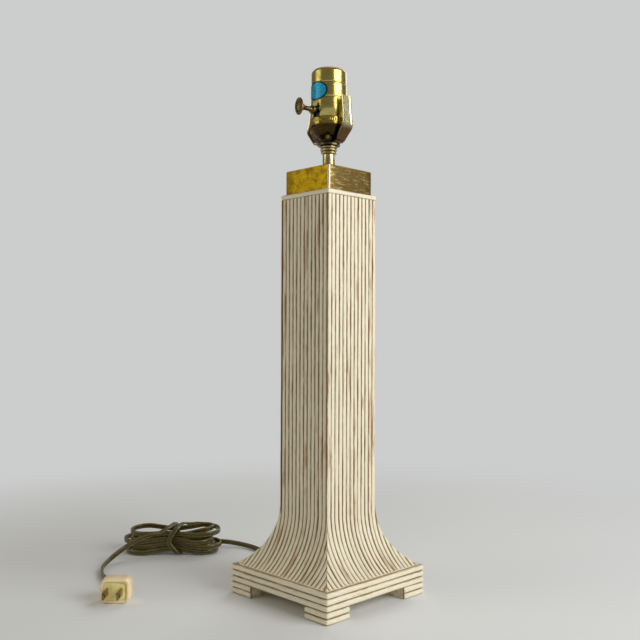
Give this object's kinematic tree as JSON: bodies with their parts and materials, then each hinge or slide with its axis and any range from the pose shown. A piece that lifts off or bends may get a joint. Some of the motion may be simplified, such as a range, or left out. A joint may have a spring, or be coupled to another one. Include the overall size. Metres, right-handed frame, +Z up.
{
  "type": "column table lamp",
  "caption": "Square table lamp base with a reeded, flared column on a footed reeded plinth, a brass cap, a turn-key bulb socket in a harp saddle, and a tied hank of cord with a plug.",
  "frame": {"origin": "middle of the plinth's foot square, on the surface the feet stand on", "axes": "+Z up along the column; the turn key points along -Y; the arms of the harp saddle lie along X; the cord leaves under the plinth toward -X"},
  "size_m": [0.3288, 0.2388, 0.4869],
  "materials": {
    "board_wood": "unfinished softwood, satin where it shows",
    "reed_finish": "ivory paint over cane, satin, tan in the grooves",
    "cap_brass": "aged sheet brass, brushed and tarnished",
    "fitting_brass": "brass plate, satin, worn",
    "socket_brass": "polished brass with a light tarnish",
    "key_bronze": "dark bronze, satin",
    "steel": "zinc plate, dull",
    "sleeve_card": "pressed card, matte",
    "switch_moulding": "black moulding, matte",
    "screw_shell_metal": "thin rolled brass, bright",
    "cord_vinyl": "olive bronze vinyl, glossy and a little clear",
    "plug_vinyl": "ivory vinyl, satin and a little clear",
    "plug_insert_vinyl": "amber moulding, glossy",
    "blade_brass": "bright brass, rolled"
  },
  "bodies": {
    "lamp_base": {"plinth_board": "board_wood", "foot_blocks": "board_wood", "column_board_front": "board_wood", "column_board_right": "board_wood", "column_board_back": "board_wood", "column_board_left": "board_wood", "flare_blocks": "board_wood", "top_board": "board_wood", "apron_reeds_1": "reed_finish", "apron_reeds_2": "reed_finish", "apron_reeds_3": "reed_finish", "foot_reeds_1": "reed_finish", "foot_reeds_2": "reed_finish", "reeds_front": "reed_finish", "reeds_right": "reed_finish", "reeds_back": "reed_finish", "reeds_left": "reed_finish", "top_band": "reed_finish", "brass_cap": "cap_brass", "brass_fittings": "fitting_brass", "threaded_pipe": "steel", "steel_fittings": "steel", "harp_saddle": "fitting_brass", "socket_cup": "socket_brass", "socket_shell": "socket_brass", "set_screw": "steel", "insulating_sleeve": "sleeve_card", "switch_body": "switch_moulding", "screw_shell": "screw_shell_metal", "contact_disc": "switch_moulding", "centre_contact": "fitting_brass", "cord_riser": "cord_vinyl", "cord_lead": "cord_vinyl", "cord_hank": "cord_vinyl", "cord_wrap": "cord_vinyl", "cord_tail": "cord_vinyl", "plug_body": "plug_vinyl", "plug_insert": "plug_insert_vinyl", "plug_blades": "blade_brass"},
    "switch_knob": {"switch_stem": "key_bronze", "turn_key": "key_bronze"}
  },
  "joints": [
    {"name": "switch_turn", "type": "hinge", "parent": "lamp_base", "child": "switch_knob", "pos_m": [0, -0.0367, 0.446], "axis": [0, -1, 0], "continuous": true}
  ]
}
